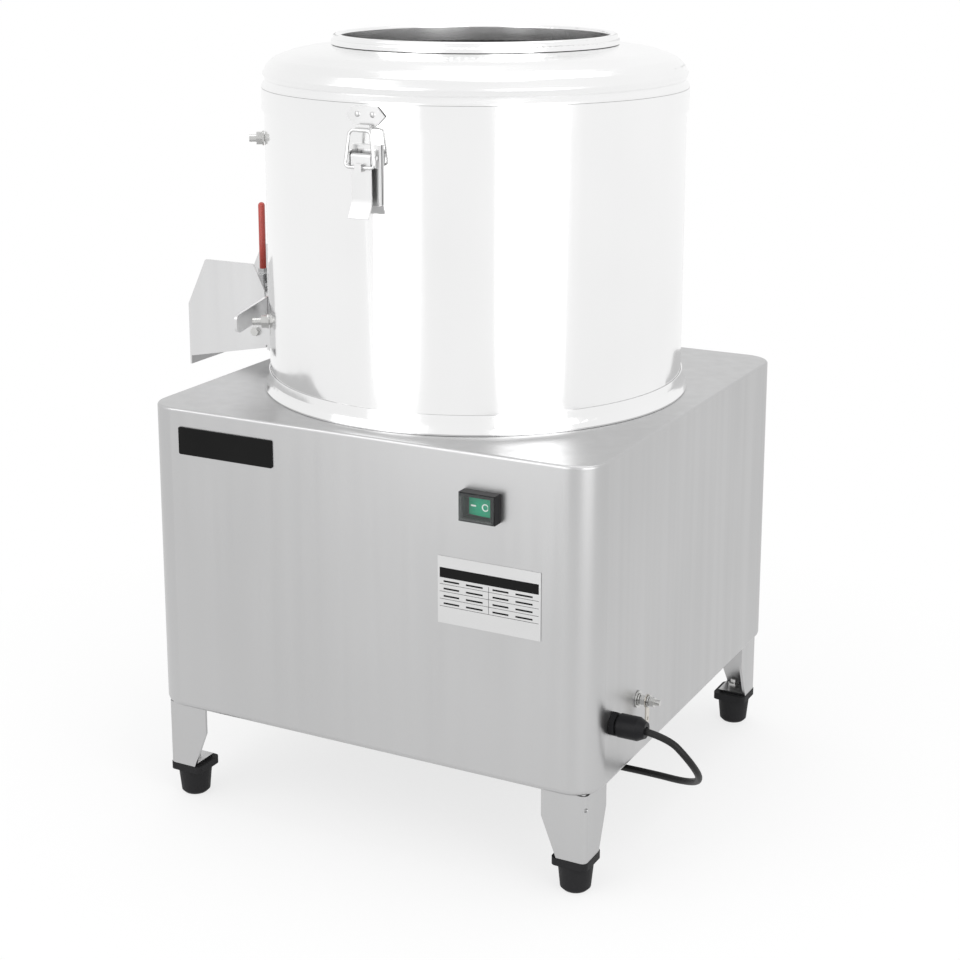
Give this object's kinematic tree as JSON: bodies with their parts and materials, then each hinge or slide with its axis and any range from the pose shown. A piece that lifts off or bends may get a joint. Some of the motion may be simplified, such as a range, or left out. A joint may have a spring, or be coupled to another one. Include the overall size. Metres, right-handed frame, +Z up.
{
  "type": "electric potato peeler",
  "caption": "Floor-standing commercial potato peeler: steel cabinet on rubber feet, drum with a turning abrasive disc, latched lid, gated side chute and a mains switch.",
  "frame": {"origin": "centre of the bottom of the object's bounding box without its cord, on the floor", "axes": "+Z up, front of the cabinet with the switch towards -Y, chute towards -X"},
  "size_m": [0.7037, 0.7736, 0.843],
  "materials": {
    "brushed_steel": "satin, vertical grain",
    "polished_steel": "mirror-like rolled steel",
    "zinc_steel": "zinc plated",
    "black_rubber": "matt moulded rubber",
    "black_plastic": "moulded plastic",
    "clear_plastic": "clear flexible splash cover",
    "green_plastic": "glossy",
    "red_plastic": "dipped plastic sleeve",
    "grit": "bonded abrasive grit",
    "cast_metal": "painted casting",
    "brass": "plain",
    "plate_silver": "printed foil",
    "cord_black": "rubber sheathed cable"
  },
  "bodies": {
    "cabinet": {"cabinet_skin": "brushed_steel", "leg_front_left": "brushed_steel", "leg_front_right": "brushed_steel", "leg_rear_right": "brushed_steel", "leg_rear_left": "brushed_steel", "rubber_feet": "black_rubber", "foot_bolts": "zinc_steel", "drum_shell": "polished_steel", "drum_foot_ring": "polished_steel", "drum_floor": "brushed_steel", "abrasive_liner": "grit", "deflector_bar": "grit", "deflector_bolts": "zinc_steel", "latch_base_front": "brushed_steel", "latch_base_rear": "brushed_steel", "bearing_housing": "cast_metal", "main_bearings": "zinc_steel", "shaft_seal": "black_rubber", "motor_body": "cast_metal", "motor_mount": "cast_metal", "mount_bolts": "zinc_steel", "drive_belt": "black_rubber", "chute": "brushed_steel", "discharge_frame": "brushed_steel", "chute_bolts": "zinc_steel", "clamp_bridge": "brushed_steel", "switch_bezel": "black_plastic", "switch_body": "black_plastic", "switch_cover": "clear_plastic", "badge_plate": "black_plastic", "rating_plate": "plate_silver", "gland_cap": "black_plastic", "gland_body": "black_plastic", "bonding_stud": "zinc_steel", "bonding_tab": "brass", "waste_pipe": "brushed_steel", "water_inlet": "brushed_steel", "power_cord": "cord_black", "cord_coil": "cord_black", "plug": "black_plastic"},
    "rotor": {"abrasive_disc": "grit", "main_shaft": "zinc_steel", "disc_nut": "brushed_steel", "driven_pulley": "zinc_steel"},
    "motor_rotor": {"motor_shaft": "zinc_steel", "drive_pulley": "zinc_steel"},
    "lid": {"lid_dome": "polished_steel", "lid_band": "polished_steel", "mouth_collar": "polished_steel", "latch_keepers": "brushed_steel", "keeper_rivets": "zinc_steel"},
    "front_latch": {"latch_lever_front": "brushed_steel"},
    "front_bail": {"latch_bail_front": "zinc_steel"},
    "rear_latch": {"latch_lever_rear": "brushed_steel"},
    "rear_bail": {"latch_bail_rear": "zinc_steel"},
    "rocker": {"switch_rocker": "green_plastic"},
    "gate": {"gate": "brushed_steel"},
    "clamp": {"clamp_lever": "brushed_steel", "clamp_pad": "black_rubber", "clamp_grip": "red_plastic"}
  },
  "joints": [
    {"name": "disc_spin", "type": "hinge", "parent": "cabinet", "child": "rotor", "pos_m": [0.0245, -0.0102, 0.48], "axis": [0, 0, 1], "continuous": true},
    {"name": "motor_spin", "type": "hinge", "parent": "cabinet", "child": "motor_rotor", "pos_m": [0.1545, 0.0898, 0.18], "axis": [0, 0, 1], "continuous": true},
    {"name": "lid_lift", "type": "slide", "parent": "cabinet", "child": "lid", "axis": [0, 0, 1], "range_m": [0, 0.15]},
    {"name": "front_latch_swing", "type": "hinge", "parent": "cabinet", "child": "front_latch", "pos_m": [0.0245, -0.2495, 0.7346], "axis": [-1, 0, 0], "range_deg": [0, 100]},
    {"name": "front_bail_swing", "type": "hinge", "parent": "front_latch", "child": "front_bail", "pos_m": [0.0245, -0.25615, 0.7251], "axis": [-1, 0, 0], "range_deg": [-100, 0]},
    {"name": "rear_latch_swing", "type": "hinge", "parent": "cabinet", "child": "rear_latch", "pos_m": [0.0245, 0.2291, 0.7346], "axis": [1, 0, 0], "range_deg": [0, 100]},
    {"name": "rear_bail_swing", "type": "hinge", "parent": "rear_latch", "child": "rear_bail", "pos_m": [0.0245, 0.23575, 0.7251], "axis": [1, 0, 0], "range_deg": [-100, 0]},
    {"name": "rocker_press", "type": "hinge", "parent": "cabinet", "child": "rocker", "pos_m": [0.1685, -0.2693, 0.402], "axis": [0, 0, 1], "range_deg": [0, 10]},
    {"name": "gate_slide", "type": "slide", "parent": "cabinet", "child": "gate", "axis": [0, 0, 1], "range_m": [0, 0.07]},
    {"name": "clamp_swing", "type": "hinge", "parent": "cabinet", "child": "clamp", "pos_m": [-0.2605, -0.0102, 0.546], "axis": [0, -1, 0], "range_deg": [0, 70]}
  ],
  "couplings": [
    {"joint": "motor_spin", "follows": "disc_spin", "ratio": 4.9474},
    {"joint": "front_bail_swing", "follows": "front_latch_swing", "ratio": -1},
    {"joint": "rear_bail_swing", "follows": "rear_latch_swing", "ratio": -1}
  ]
}
